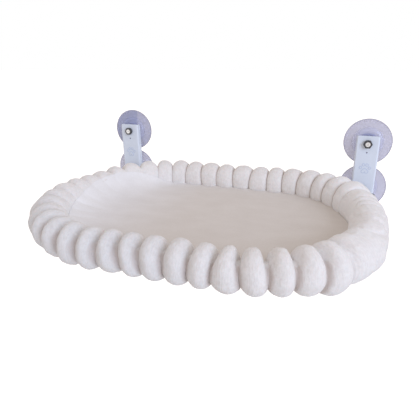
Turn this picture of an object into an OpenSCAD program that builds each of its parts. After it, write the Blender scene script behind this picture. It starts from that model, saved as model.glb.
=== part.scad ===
// Window cat perch: a fleece-covered bed with a ring of gathered lobes, on a steel tube
// frame that folds up on two wall brackets, each held to the glass by two suction cups.
// The origin is on the glass, midway between the four cups. +X runs along the glass,
// +Y points into the glass and +Z is up. All lengths are in millimetres.

/* [Suction cups] */
// Diameter of a suction cup at its sealing lip
cup_d = 79; // [66:1:90]
// Gap between the lips of the upper and the lower cup
cup_gap = 1; // [0.5:0.5:20]
// Depth of a cup from the glass to the front of its neck
cup_h = 17; // [15:0.5:24]
// Diameter of the neck that holds the stud
neck_d = 27; // [24:0.5:30]
// Diameter of the thick dome behind the neck
dome_d = 51; // [44:1:58]
// Depth of the dome at its foot
dome_foot_h = 3.2; // [2.6:0.1:4]
// Depth of the dome at its shoulder
dome_top_h = 7.4; // [5.5:0.1:7.8]
// Thickness of the sealing lip
lip_t = 1.3; // [0.8:0.1:2]
// Width of the flat sealing ring
seal_w = 6.5; // [4:0.5:10]
// Depth of the hollow behind the sealing ring
hollow_h = 2.2; // [1:0.1:3]

/* [Cup studs] */
// Thread diameter of a stud
stud_d = 8; // [6:1:10]
// Diameter of the head that is moulded into the neck
stud_head_d = 19; // [16:0.5:21]
// Thickness of the head
stud_head_t = 2.5; // [1.5:0.5:4]
// Thickness of the neck in front of the head
stud_cover = 3; // [2:0.5:4]
// How far a stud stands out of its nut
stud_out = 0.6; // [0:0.1:2]
// Width of the stud nut across its flats
stud_nut_af = 13; // [11:0.5:16]
// Height of the stud nut
stud_nut_h = 4; // [3:0.5:7]
// Outer diameter of the spring washer
spring_d = 13; // [12.5:0.5:15]
// Thickness of the spring washer
spring_t = 1.6; // [1:0.1:2.5]

/* [Brackets] */
// Distance between the middles of the two brackets
bracket_pitch = 450; // [430:1:470]
// Width of a bracket
bracket_w = 37; // [34:0.5:42]
// Sheet thickness of a bracket
bracket_t = 2; // [1.5:0.1:3]
// Depth of a bracket from its face to the edge of its flanges
bracket_depth = 10.7; // [6:0.1:11]
// Height of a bracket above its upper stud
bracket_top = 13.2; // [12:0.1:30]
// Length of a bracket below its lower stud
bracket_tail = 46; // [42:1:60]
// Outside radius of the bends
bend_r = 2.5; // [2:0.1:4]
// Corner radius at the ends
bracket_corner_r = 4; // [1:0.5:8]
// Diameter of the small hole below the upper stud
pilot_d = 3; // [1:0.5:5]
// Distance of that hole below the upper stud
pilot_drop = 15; // [12:0.5:20]
// Distance of the pressed paw mark below the upper stud
paw_drop = 43; // [36:1:46]
// Width of the paw mark
paw_w = 19; // [12:1:24]
// Height of the paw mark above the face
paw_h = 0.5; // [0.2:0.1:1]

/* [Hinges] */
// Thickness of the hinge bracket
hinge_t = 2; // [1.5:0.1:3]
// Distance from the lower stud down to the hinge bracket
hinge_drop = 12; // [10.5:0.5:14]
// Radius of the rounded eyes
eye_r = 8; // [7:0.5:9]
// Diameter of the hinge pin
pin_d = 6; // [5:0.5:8]
// Diameter of the pin's head
pin_head_d = 10; // [9:0.5:11]
// Height of the pin's head
pin_head_h = 3.5; // [2:0.5:4]
// Width of the pin nut across its flats
pin_nut_af = 10; // [9:0.5:12]
// Height of the pin nut
pin_nut_h = 5; // [4:0.5:7]
// How far the pin stands out of its nut
pin_out = 1; // [0.5:0.5:3]
// Wall of the nylon bush round the pin
bush_wall = 1; // [0.6:0.1:1.5]
// Diameter of the bush flange
bush_flange_d = 12; // [10:0.5:14]
// Thickness of the bush flange
bush_flange_t = 0.8; // [0.5:0.1:1.2]
// Distance of the pin below the middle of the bolster
pin_sink = 2.8; // [0:0.1:6]
// Largest folding angle, in degrees
fold_angle = 95; // [80:1:95]
// Clearance between the folded bolster and the studs
fold_gap = 3; // [0.5:0.1:4]
// Clearance between the hinge eyes and the open bolster
eye_gap = 4; // [1.5:0.1:5]

/* [Hinge screws] */
// Thread diameter of the screws that hold a hinge bracket
screw_d = 5; // [4:0.5:6]
// Head diameter
screw_head_d = 9.5; // [8.5:0.5:11]
// Head height
screw_head_h = 3; // [2:0.5:4]
// Width of a screw's nut across its flats
screw_nut_af = 8; // [7.5:0.5:10]
// Height of a screw's nut
screw_nut_h = 4; // [3:0.5:5]
// How far a screw stands out of its nut
screw_out = 1; // [0.5:0.5:2]
// Distance of the screws from the ends of the hinge bracket
screw_edge = 8; // [6.5:0.5:10]

/* [Swing arms] */
// Width of a swing arm
arm_w = 19; // [18:0.5:22]
// Sheet thickness of a swing arm
arm_t = 2; // [1.5:0.1:2.5]
// Depth of the arm at its front tip
arm_tip_h = 8; // [7:0.5:12]
// Depth of the arm at its heel
arm_heel_h = 13; // [10:0.5:14]
// Height of the heel that bears on the hinge bracket
heel_h = 26; // [20:1:30]
// Distance from the pin forward to the bend of the arm
arm_bend = 17; // [14:1:20]
// Length of the arm past the middle of the bed
arm_past = 20; // [16:1:30]
// Distance between the two screws that hold the tube
tube_screw_pitch = 22; // [14:1:26]

/* [Tube frame] */
// Outer diameter of the frame tube
tube_d = 12; // [10:0.5:14]
// Wall of the frame tube
tube_wall = 1.2; // [0.8:0.1:1.5]
// Distance of the front and rear tubes inside the middle of the bolster
tube_inset = 34; // [30:1:40]
// Length of the joiners inside the tubes
joiner_l = 60; // [50:1:80]
// Distance between the two screws of a joiner
joiner_screw_pitch = 44; // [40:1:46]
// Thread diameter of the joiner screws
joiner_screw_d = 4; // [3:0.5:4.5]
// Head diameter of the joiner screws
joiner_head_d = 7.5; // [6:0.5:8]
// Head height of the joiner screws
joiner_head_h = 2.6; // [2:0.1:3.5]
// Outer diameter of the threaded inserts in the tube
insert_d = 7; // [6.5:0.5:7.5]
// Height of the threaded inserts
insert_h = 7; // [5:0.5:8]

/* [Sling and straps] */
// Thickness of the sling cloth
sling_t = 1; // [0.6:0.1:1.4]
// Place of the straps along the straight tube, as a share of half its length
strap_share = 0.73; // [0.62:0.01:0.8]
// Width of a strap
strap_w = 20; // [14:1:26]
// Thickness of a strap
strap_t = 0.9; // [0.6:0.1:0.9]
// Length of a strap's loose tail
strap_tail = 18; // [12:1:26]
// Depth of the notches in the sling's edge
notch_depth = 10; // [9:0.5:16]
// Half the length of the notch at a joiner
joiner_notch = 34; // [32:1:38]

/* [Bed] */
// Length of the bed over the lobes
bed_l = 505.4; // [495:0.1:520]
// Depth of the bed over the lobes
bed_w = 376.8; // [362:0.1:390]
// Corner radius at the middle of the bolster
bed_r = 150; // [140:0.5:154]
// Diameter of the bolster at the crest of a lobe
lobe_d = 50; // [46:0.5:53]
// Diameter of the bolster at a sewn valley
valley_d = 37; // [32:0.5:43]
// Number of lobes
lobe_count = 44; // [36:4:52]
// Number of sides of the bolster's section
lobe_sides = 16; // [10:2:16]
// Height of the bolster's middle below the middle of the cups
bed_drop = 34.4; // [31:0.1:36]
// Depth of the seat's edge below the bolster's middle
seat_sink = 13.2; // [11:0.1:16]
// Rise of the seat inside its edge
seat_crown = 0.8; // [0.2:0.1:2]
// Sag of the middle of the seat
seat_dish = 1.6; // [0.4:0.1:3]
// Gap where a soft piece lies on its seat
seat_gap = 0.3; // [0.2:0.05:0.4]

/* [Hidden] */
$fn = 64;

// One clearance for parts that are fitted to each other, and one overrun for every cut
fit_gap = 0.05;
overrun = 1;

// Clearance between the end of the sling and the arms
sling_gap = 0.5;

// Shares: of the flat round a cup's neck that its fillet takes, of a stud that its centre
// hole takes, of a pin that its hex socket takes, of a pin nut's height that is hexagonal,
// of its width that its collar takes, and of an insert that its screw reaches
fillet_share = 0.6;
stud_hole_share = 0.35;
pin_socket_share = 0.8;
pin_nut_hex_share = 0.7;
pin_nut_collar_share = 0.9;
insert_reach_share = 0.8;

// Turn of the split in a spring washer, in degrees
split_angle = 30;

// Share of a quarter of the lobes that belongs to the front bolster
front_share = 0.55;

// Lobe pitch shares at which a lobe has a ring of points, and the angles of the seat pad's
// drawn-in side about the bolster's middle, in degrees below the level
ring_shares = [0, 0.12, 0.35, 0.65, 0.88];
hug_angles = [72, 60, 46];

// Places along the cups' depth, all measured from the glass
cup_r = cup_d / 2;
stud_z = (cup_d + cup_gap) / 2;
cup_x = bracket_pitch / 2;
face_d = cup_h + bracket_t;
stud_tip_d = face_d + spring_t + stud_nut_h + stud_out;
stud_head_front = cup_h - stud_cover;
stud_head_back = stud_head_front - stud_head_t;
shoulder_r = neck_d / 2 + (bracket_w / 2 - bracket_t - neck_d / 2) * fillet_share;

// Bed: the bolster's middle line is a rounded rectangle
lobe_r = lobe_d / 2;
valley_r = valley_d / 2;
line_a = bed_l / 2 - lobe_r;
line_b = bed_w / 2 - lobe_r;
line_len = 4 * quarter_len(line_a, line_b, bed_r);
lobe_pitch = line_len / lobe_count;
bed_z = -bed_drop;
soft_bottom = bed_z - lobe_r;
seat_z = bed_z - seat_sink;

// Hinge: far enough out for the folded bolster to clear the studs
pin_z = bed_z - pin_sink;
fold_rise = lobe_r + pin_sink;
fold_level = stud_z + stud_nut_af / 2 - pin_z;
pin_reach = stud_tip_d + fold_gap + fold_rise * sin(fold_angle) - fold_level * cos(fold_angle);
pin_y = -pin_reach;
arm_in = arm_w / 2;
hinge_in = arm_in + bush_flange_t + fit_gap;
hinge_out = hinge_in + hinge_t;
hinge_top = -stud_z - hinge_drop;
bracket_bottom = -stud_z - bracket_tail;
bracket_upper = stud_z + bracket_top;
hinge_face = -face_d - hinge_t;

// Tube frame, a loop with half-round ends under the bed
tube_r = tube_d / 2;
sleeve_in = tube_r + fit_gap;
sleeve_out = sleeve_in + sling_t;
tube_z = soft_bottom - seat_gap - sleeve_out;
loop_b = line_b - tube_inset;
loop_c = cup_x - loop_b;
sling_x = cup_x - arm_in - sling_gap;
joiner_r = tube_r - tube_wall - fit_gap;
strap_x = strap_share * loop_c;
notch_w = strap_w + 2 * sling_t;

// Bed place: its rear corner stands clear of the hinge eyes, and its tube of the arms' necks
corner_x = cup_x - hinge_out - (line_a - bed_r);
corner_r = bed_r + lobe_r;
corner_reach = sqrt(max(0, corner_r * corner_r - corner_x * corner_x));
lobes_y = pin_y - eye_r - eye_gap - corner_reach - (line_b - bed_r);
tube_side = loop_b + tube_r;
tube_reach = sqrt(tube_side * tube_side - pow(loop_b - arm_in, 2));
bed_y = min(lobes_y, pin_y - arm_bend - tube_reach);

// Swing arm: pin eye, heel below it, and a beam that runs forward under the tube
arm_top = tube_z - tube_r - fit_gap;
arm_tip_y = bed_y - arm_past;
tube_screw_ys = [bed_y - arm_past / 2, bed_y - arm_past / 2 + tube_screw_pitch];
eye_at = [pin_y, pin_z];
heel_y = hinge_face - seat_gap;
heel_top = [heel_y, arm_top - arm_heel_h + heel_h];
heel_foot = [heel_y, arm_top - arm_heel_h];
arm_corner = [pin_y - arm_bend, arm_top];
arm_tip = [arm_tip_y, arm_top];
neck_top = tangent(eye_at, eye_r, arm_corner, -1);

// Clear points of a hexagon, and the circle through them
function hex_r(af) = af / sqrt(3);

// Points along an arc about c
function arc(c, r, from, to, n) = [
    for (i = [0 : n])
        c + r * [cos(from + (to - from) * i / n), sin(from + (to - from) * i / n)]
];

// Where a line from p touches a circle about c; side is 1 or -1
function tangent(c, r, p, side) =
    let (v = p - c, a = atan2(v[1], v[0]) + side * acos(r / norm(v)))
    c + r * [cos(a), sin(a)];

// A quarter of a rounded rectangle, from the middle of its front to the middle of its side
function quarter_len(a, b, r) = (a - r) + (b - r) + PI * r / 2;
function quarter_point(t, a, b, r) =
    t < a - r ? [t, -b, 0, -1]
    : t < a - r + PI * r / 2
        ? let (g = (t - (a - r)) / r * 180 / PI)
            [a - r + r * sin(g), -(b - r) - r * cos(g), sin(g), -cos(g)]
        : [a, -(b - r) + (t - (a - r) - PI * r / 2), 1, 0];

// The whole line: place and outward direction at a share of its length
function line_point(share, a, b, r) =
    let (
        q = (share - floor(share)) * 4,
        k = floor(q),
        t = q - k,
        u = (k % 2 == 0 ? t : 1 - t) * quarter_len(a, b, r),
        p = quarter_point(u, a, b, r),
        sx = k < 2 ? 1 : -1,
        sy = k == 0 || k == 3 ? 1 : -1
    )
    [sx * p[0], sy * p[1], sx * p[2], sy * p[3]];

// Places and turns that the sub-parts share
module each_cup() {
    for (sx = [-1, 1])
        for (sz = [-1, 1])
            translate([sx * cup_x, 0, sz * stud_z])
                children();
}

// A rod along the cups' depth, from one distance off the glass to another
module depth_rod(d, from, to, sides = 64) {
    translate([0, -from, 0])
        rotate([90, 0, 0])
            cylinder(d = d, h = to - from, $fn = sides);
}

// A plate in the side view, where the outline's x runs along Y and its y along Z
module side_plate(x, t) {
    translate([x, 0, 0])
        rotate([90, 0, 90])
            linear_extrude(t)
                children();
}

// Suction cup: soft clear vinyl, one moulding with the stud's head inside its neck
module suction_cup() {
    dome_r = dome_d / 2;
    neck_r = neck_d / 2;
    dome = [
        for (i = [0 : 8])
            [
                shoulder_r + (dome_r - shoulder_r) * cos(90 * i / 8),
                dome_foot_h + (dome_top_h - dome_foot_h) * sin(90 * i / 8)
            ]
    ];
    fillet_r = shoulder_r - neck_r;
    fillet = arc([shoulder_r, dome_top_h + fillet_r], fillet_r, 270, 180, 5);
    hollow = [
        for (i = [0 : 6])
            [(cup_r - seal_w) * i / 6, hollow_h * cos(90 * i / 6)]
    ];
    color([0.74, 0.75, 0.86])
        rotate([90, 0, 0])
            difference() {
                rotate_extrude()
                    polygon(concat(
                        hollow,
                        [[cup_r, 0], [cup_r, lip_t]],
                        dome,
                        fillet,
                        [[neck_r, cup_h], [0, cup_h]]
                    ));
                translate([0, 0, stud_head_back])
                    cylinder(d = stud_head_d, h = stud_head_t);
                translate([0, 0, stud_head_back])
                    cylinder(d = stud_d, h = cup_h);
            }
}

module suction_cup_at(sx, sz) {
    translate([sx * cup_x, 0, sz * stud_z])
        suction_cup();
}

module cup_studs() {
    hole_d = stud_d * stud_hole_share;
    back = stud_head_back + fit_gap;
    color([0.72, 0.72, 0.72])
        each_cup()
            difference() {
                union() {
                    depth_rod(stud_head_d - 2 * fit_gap, back, stud_head_front - fit_gap);
                    depth_rod(stud_d - 2 * fit_gap, back, stud_tip_d);
                }
                depth_rod(hole_d, stud_tip_d - hole_d / 2, stud_tip_d + overrun);
            }
}

module spring_washers() {
    color([0.45, 0.45, 0.47])
        each_cup()
            difference() {
                depth_rod(spring_d, face_d, face_d + spring_t);
                depth_rod(stud_d + 2 * fit_gap, face_d - overrun, face_d + spring_t + overrun);
                translate([0, -face_d - spring_t - overrun, 0])
                    rotate([0, split_angle, 0])
                        cube([spring_d, spring_t + 2 * overrun, spring_t / 2]);
            }
}

module stud_nuts() {
    nut_from = face_d + spring_t;
    color([0.62, 0.62, 0.62])
        each_cup()
            difference() {
                depth_rod(2 * hex_r(stud_nut_af), nut_from, nut_from + stud_nut_h, 6);
                depth_rod(stud_d + 2 * fit_gap, nut_from - overrun, nut_from + stud_nut_h + overrun);
            }
}

// Outline of the folded channel seen from above, with its face on y = 0
module channel_outline() {
    half = bracket_w / 2;
    difference() {
        union() {
            translate([-half, bend_r])
                square([bracket_w, bracket_depth - bend_r]);
            translate([-half + bend_r, 0])
                square([bracket_w - 2 * bend_r, bend_r]);
            for (sx = [-1, 1])
                translate([sx * (half - bend_r), bend_r])
                    circle(bend_r);
        }
        translate([-half + bracket_t, bracket_t])
            square([bracket_w - 2 * bracket_t, bracket_depth]);
    }
}

// A rectangle with round corners, from its lower left corner
module rounded_plate(w, h, r) {
    translate([r, 0])
        square([w - 2 * r, h]);
    translate([0, r])
        square([w, h - 2 * r]);
    for (x = [r, w - r])
        for (y = [r, h - r])
            translate([x, y])
                circle(r);
}

// A plain paw: one round-cornered pad under four toes
module paw_mark() {
    toe_places_shares = [[-0.38, 0.1], [-0.15, 0.36], [0.15, 0.36], [0.38, 0.1]];
    pad_places_shares = [[0, -0.1], [-0.14, -0.24], [0.14, -0.24]];
    toe_share = 0.22;
    pad_share = 0.3;
    for (p = toe_places_shares)
        translate(p * paw_w)
            circle(d = toe_share * paw_w);
    for (p = pad_places_shares)
        translate(p * paw_w)
            circle(d = pad_share * paw_w);
}

// Wall bracket: powder-coated steel channel with its flanges towards the glass
module bracket(sx) {
    height = bracket_upper - bracket_bottom;
    hinge_screw_zs = [hinge_top - screw_edge, bracket_bottom + screw_edge];
    color([0.80, 0.84, 0.92])
        translate([sx * cup_x, 0, 0])
            difference() {
                union() {
                    intersection() {
                        translate([0, -face_d, bracket_bottom])
                            linear_extrude(height)
                                channel_outline();
                        translate([-bracket_w / 2, overrun, bracket_bottom])
                            rotate([90, 0, 0])
                                linear_extrude(face_d + 2 * overrun)
                                    rounded_plate(bracket_w, height, bracket_corner_r);
                    }
                    translate([0, -face_d + bracket_t / 2, stud_z - paw_drop])
                        rotate([90, 0, 0])
                            linear_extrude(bracket_t / 2 + paw_h)
                                paw_mark();
                }
                for (sz = [-1, 1])
                    translate([0, 0, sz * stud_z])
                        depth_rod(stud_d + 4 * fit_gap, cup_h - overrun, face_d + overrun);
                translate([0, 0, stud_z - pilot_drop])
                    depth_rod(pilot_d, cup_h - overrun, face_d + overrun);
                for (z = hinge_screw_zs)
                    translate([0, 0, z])
                        depth_rod(screw_d + 4 * fit_gap, cup_h - overrun, face_d + overrun);
            }
}

// Hinge bracket: base plate on the channel's face, with two ears that carry the pin
module hinge_bracket(sx) {
    eye = [pin_y, pin_z];
    top = [hinge_face, hinge_top];
    bottom = [hinge_face, bracket_bottom];
    color([0.78, 0.82, 0.90])
        translate([sx * cup_x, 0, 0])
            difference() {
                union() {
                    translate([-hinge_out, hinge_face, bracket_bottom])
                        cube([2 * hinge_out, hinge_t, hinge_top - bracket_bottom]);
                    for (x = [-hinge_out, hinge_in])
                        side_plate(x, hinge_t)
                            union() {
                                translate(eye)
                                    circle(eye_r);
                                polygon([
                                    [-face_d, hinge_top],
                                    top,
                                    tangent(eye, eye_r, top, 1),
                                    eye,
                                    tangent(eye, eye_r, bottom, -1),
                                    bottom,
                                    [-face_d, bracket_bottom]
                                ]);
                            }
                }
                translate([-hinge_out - overrun, pin_y, pin_z])
                    rotate([0, 90, 0])
                        cylinder(d = pin_d + 2 * fit_gap, h = 2 * (hinge_out + overrun));
                for (z = [hinge_top - screw_edge, bracket_bottom + screw_edge])
                    translate([0, 0, z])
                        depth_rod(screw_d + 4 * fit_gap, face_d - overrun, face_d + hinge_t + overrun);
            }
}

// Places of the screws that hold the hinge brackets
module each_hinge_screw() {
    for (sx = [-1, 1])
        for (z = [hinge_top - screw_edge, bracket_bottom + screw_edge])
            translate([sx * cup_x, 0, z])
                children();
}

module hinge_screws() {
    head_from = face_d + hinge_t;
    tip = cup_h - screw_nut_h - screw_out;
    color([0.66, 0.66, 0.68])
        each_hinge_screw()
            difference() {
                union() {
                    depth_rod(screw_d, tip, head_from);
                    depth_rod(screw_head_d, head_from, head_from + screw_head_h);
                }
                depth_rod(screw_d / 2, head_from + screw_head_h / 2, head_from + screw_head_h + overrun, 6);
            }
}

module hinge_screw_nuts() {
    color([0.66, 0.66, 0.68])
        each_hinge_screw()
            difference() {
                depth_rod(2 * hex_r(screw_nut_af), cup_h - screw_nut_h, cup_h, 6);
                depth_rod(screw_d + 2 * fit_gap, cup_h - screw_nut_h - overrun, cup_h + overrun);
            }
}

// Hinge pin: a bolt with its socket head inboard and its lock nut outboard
module hinge_pins() {
    head_from = -hinge_out - pin_head_h;
    tip = hinge_out + pin_nut_h + pin_out;
    color([0.66, 0.66, 0.68])
        for (sx = [-1, 1])
            translate([sx * cup_x, pin_y, pin_z])
                rotate([0, sx * 90, 0])
                    difference() {
                        union() {
                            translate([0, 0, head_from])
                                cylinder(d = pin_head_d, h = pin_head_h);
                            translate([0, 0, -hinge_out])
                                cylinder(d = pin_d, h = tip + hinge_out);
                        }
                        translate([0, 0, head_from - overrun])
                            cylinder(d = pin_d * pin_socket_share, h = pin_head_h / 2 + overrun, $fn = 6);
                    }
}

module hinge_pin_nuts() {
    color([0.60, 0.60, 0.62])
        for (sx = [-1, 1])
            translate([sx * cup_x, pin_y, pin_z])
                rotate([0, sx * 90, 0])
                    translate([0, 0, hinge_out])
                        difference() {
                            union() {
                                cylinder(r = hex_r(pin_nut_af), h = pin_nut_h * pin_nut_hex_share, $fn = 6);
                                cylinder(d = pin_nut_af * pin_nut_collar_share, h = pin_nut_h);
                            }
                            translate([0, 0, -overrun])
                                cylinder(d = pin_d + 2 * fit_gap, h = pin_nut_h + 2 * overrun);
                        }
}

// Side view of the arm's cheek below its round eye
module cheek_outline() {
    polygon([
        eye_at,
        tangent(eye_at, eye_r, heel_top, 1),
        heel_top,
        heel_foot,
        arm_tip - [0, arm_tip_h],
        arm_tip,
        arm_corner,
        neck_top
    ]);
}

// Inside of the channel in the side view: all that lies behind the neck and under the top
module arm_pocket_outline() {
    rear = heel_y + overrun;
    ceiling = pin_z + eye_r + overrun;
    floor_z = heel_foot[1] - overrun;
    polygon([
        neck_top + [arm_t, 0],
        [neck_top[0] + arm_t, ceiling],
        [rear, ceiling],
        [rear, floor_z],
        [arm_tip[0] + arm_t, floor_z],
        arm_tip + [arm_t, -arm_t],
        arm_corner + [arm_t, -arm_t]
    ]);
}

// Swing arm: folded channel that hangs from the pin, open below, with the tube on top
module swing_arm(sx) {
    color([0.76, 0.80, 0.88])
        translate([sx * cup_x, 0, 0])
            difference() {
                union() {
                    side_plate(-arm_in, arm_w)
                        translate(eye_at)
                            circle(eye_r);
                    side_plate(-arm_in, arm_w)
                        cheek_outline();
                }
                side_plate(-arm_in + arm_t, arm_w - 2 * arm_t)
                    arm_pocket_outline();
                translate([-arm_in - overrun, pin_y, pin_z])
                    rotate([0, 90, 0])
                        cylinder(d = pin_d + 2 * bush_wall + 4 * fit_gap, h = arm_w + 2 * overrun);
                for (y = tube_screw_ys)
                    translate([sx * (tube_line_x(y) - cup_x), y, arm_top - arm_t - overrun])
                        cylinder(d = screw_d + 4 * fit_gap, h = arm_t + 2 * overrun);
            }
}

// Flanged nylon bushes, pressed into the cheeks from outside
module hinge_bushes() {
    bore_d = pin_d + 2 * fit_gap;
    barrel_d = pin_d + 2 * bush_wall + 2 * fit_gap;
    color([0.93, 0.93, 0.90])
        for (sx = [-1, 1])
            for (side = [-1, 1])
                translate([sx * cup_x + side * (arm_in - arm_t), pin_y, pin_z])
                    rotate([0, side * 90, 0])
                        difference() {
                            union() {
                                cylinder(d = barrel_d, h = arm_t);
                                translate([0, 0, arm_t])
                                    cylinder(d = bush_flange_d, h = bush_flange_t);
                            }
                            translate([0, 0, -overrun])
                                cylinder(d = bore_d, h = arm_t + bush_flange_t + 2 * overrun);
                        }
}

// Distance from the middle plane to the tube's line, on its half-round end
function tube_line_x(y) = loop_c + sqrt(loop_b * loop_b - (y - bed_y) * (y - bed_y));

// One half of a ring or rod that follows the loop, to the side that sx gives
module half_loop(r_out, r_in) {
    translate([loop_c, 0, 0])
        rotate([0, 0, -90])
            rotate_extrude(angle = 180, $fn = 128)
                translate([loop_b, 0])
                    ring_section(r_out, r_in);
    for (sy = [-1, 1])
        translate([0, sy * loop_b, 0])
            rotate([90, 0, 90])
                linear_extrude(loop_c)
                    ring_section(r_out, r_in);
}

module ring_section(r_out, r_in) {
    difference() {
        circle(r_out);
        circle(r_in);
    }
}

// Upright holes through the lower wall of the tube
module tube_holes(d) {
    for (x = [-joiner_screw_pitch / 2, joiner_screw_pitch / 2])
        for (sy = [-1, 1])
            translate([x, sy * loop_b, -tube_r - overrun])
                cylinder(d = d, h = tube_r + overrun);
}

// Half of the frame: bent steel tube, joined to the other half at the front and rear
module frame_tube(sx) {
    color([0.80, 0.84, 0.90])
        translate([0, bed_y, tube_z])
            difference() {
                mirror([sx < 0 ? 1 : 0, 0, 0])
                    half_loop(tube_r, tube_r - tube_wall);
                translate([-fit_gap, -loop_b - tube_d, -tube_d])
                    cube([2 * fit_gap, 2 * (loop_b + tube_d), 2 * tube_d]);
                tube_holes(joiner_screw_d + 2 * fit_gap);
                for (y = tube_screw_ys)
                    translate([sx * tube_line_x(y), y - bed_y, -tube_d])
                        cylinder(d = insert_d + 2 * fit_gap, h = tube_d);
            }
}

// Joiner: a shorter tube that fits inside both halves
module tube_joiner(sy) {
    color([0.70, 0.71, 0.74])
        translate([0, bed_y, tube_z])
            difference() {
                translate([-joiner_l / 2, sy * loop_b, 0])
                    rotate([90, 0, 90])
                        linear_extrude(joiner_l)
                            ring_section(joiner_r, joiner_r - tube_wall);
                tube_holes(joiner_screw_d + 2 * fit_gap);
            }
}

module joiner_screws() {
    color([0.66, 0.66, 0.68])
        for (x = [-joiner_screw_pitch / 2, joiner_screw_pitch / 2])
            for (sy = [-1, 1])
                translate([x, bed_y + sy * loop_b, tube_z - tube_r - joiner_head_h]) {
                    cylinder(d = joiner_head_d, h = joiner_head_h);
                    cylinder(d = joiner_screw_d, h = joiner_head_h + 4 * tube_wall);
                }
}

// Places of the screws that hold the tube on the arms
module each_tube_screw() {
    for (sx = [-1, 1])
        for (y = tube_screw_ys)
            translate([sx * tube_line_x(y), y, 0])
                children();
}

module tube_screws() {
    head_top = arm_top - arm_t;
    color([0.66, 0.66, 0.68])
        each_tube_screw() {
            translate([0, 0, head_top - screw_head_h])
                cylinder(d = screw_head_d, h = screw_head_h);
            translate([0, 0, head_top - screw_head_h])
                cylinder(d = screw_d, h = screw_head_h + arm_t + insert_h * insert_reach_share);
        }
}

module tube_inserts() {
    color([0.76, 0.70, 0.50])
        each_tube_screw()
            translate([0, 0, tube_z - tube_r])
                difference() {
                    cylinder(d = insert_d, h = insert_h);
                    translate([0, 0, -overrun])
                        cylinder(d = screw_d + 2 * fit_gap, h = insert_h + 2 * overrun);
                }
}

// Sling: cloth stretched over the loop, with sleeves hemmed round the tube
module sling() {
    sheet_z = sleeve_out - sling_t;
    color([0.90, 0.89, 0.87])
        translate([0, bed_y, tube_z])
            difference() {
                union() {
                    translate([0, 0, sheet_z])
                        linear_extrude(sling_t)
                            union() {
                                square([2 * loop_c, 2 * loop_b], center = true);
                                for (sx = [-1, 1])
                                    translate([sx * loop_c, 0])
                                        circle(loop_b, $fn = 128);
                            }
                    for (m = [0, 1])
                        mirror([m, 0, 0])
                            half_loop(sleeve_out, sleeve_in);
                }
                for (sx = [-1, 1])
                    translate([sx * (sling_x + loop_b) - loop_b, -loop_b, -tube_d])
                        cube([2 * loop_b, 2 * loop_b, 2 * tube_d]);
                for (sy = [-1, 1])
                    translate([0, sy * (loop_b + tube_d), 0]) {
                        notch(0, 2 * joiner_notch);
                        notch(-strap_x, notch_w);
                        notch(strap_x, notch_w);
                    }
            }
}

module notch(x, w) {
    translate([x - w / 2, -tube_d - notch_depth, -tube_d])
        cube([w, 2 * (tube_d + notch_depth), 2 * tube_d]);
}

// Straps: hook-and-loop bands sewn to the bed, closed round the tube
module fixing_straps() {
    strap_in = tube_r + fit_gap;
    strap_out = strap_in + strap_t;
    color([0.93, 0.92, 0.91])
        for (x = [-strap_x, strap_x])
            for (sy = [-1, 1])
                translate([x - strap_w / 2, bed_y + sy * loop_b, tube_z])
                    rotate([90, 0, 90])
                        linear_extrude(strap_w) {
                            ring_section(strap_out, strap_in);
                            translate([sy > 0 ? -strap_tail : 0, -strap_out])
                                square([strap_tail, strap_t]);
                        }
}

// Triangles between rings of equal count. The two points after the rings are the middles
// of the first and the last ring, and a fan round each closes the form.
function ring_faces(rings, n) = concat(
    [
        for (i = [0 : rings - 2])
            for (j = [0 : n - 1])
                let (k = (j + 1) % n)
                each [
                    [i * n + j, i * n + k, (i + 1) * n + j],
                    [i * n + k, (i + 1) * n + k, (i + 1) * n + j]
                ]
    ],
    [
        for (j = [0 : n - 1])
            let (k = (j + 1) % n, last = (rings - 1) * n)
            each [
                [rings * n, k, j],
                [rings * n + 1, last + j, last + k]
            ]
    ]
);

// Bolster: a stuffed fleece tube, gathered by a sewn valley between every two lobes
function lobe_radius(t) =
    valley_r + (lobe_r - valley_r) * sqrt(1 - pow(abs(2 * t - 1), 3));

// From one valley to another, both counted from the middle of the front
module bolster(from, to) {
    trim = seat_gap / 2 / lobe_pitch;
    places = concat(
        [[from + trim, lobe_radius(0)]],
        [
            for (i = [from : to - 1])
                for (t = ring_shares)
                    if (i > from || t > 0)
                        [i + t, lobe_radius(t)]
        ],
        [[to - trim, lobe_radius(0)]]
    );
    points = [
        for (p = places)
            let (q = line_point(p[0] / lobe_count, line_a, line_b, bed_r))
            for (j = [0 : lobe_sides - 1])
                let (g = 360 * j / lobe_sides, u = p[1] * cos(g), w = p[1] * sin(g))
                [q[0] + q[2] * u, q[1] + q[3] * u, w]
    ];
    middles = [
        for (p = [places[0], places[len(places) - 1]])
            let (q = line_point(p[0] / lobe_count, line_a, line_b, bed_r))
            [q[0], q[1], 0]
    ];
    color([0.95, 0.94, 0.93])
        translate([0, bed_y, bed_z])
            polyhedron(points = concat(points, middles), faces = ring_faces(len(places), lobe_sides));
}

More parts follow.
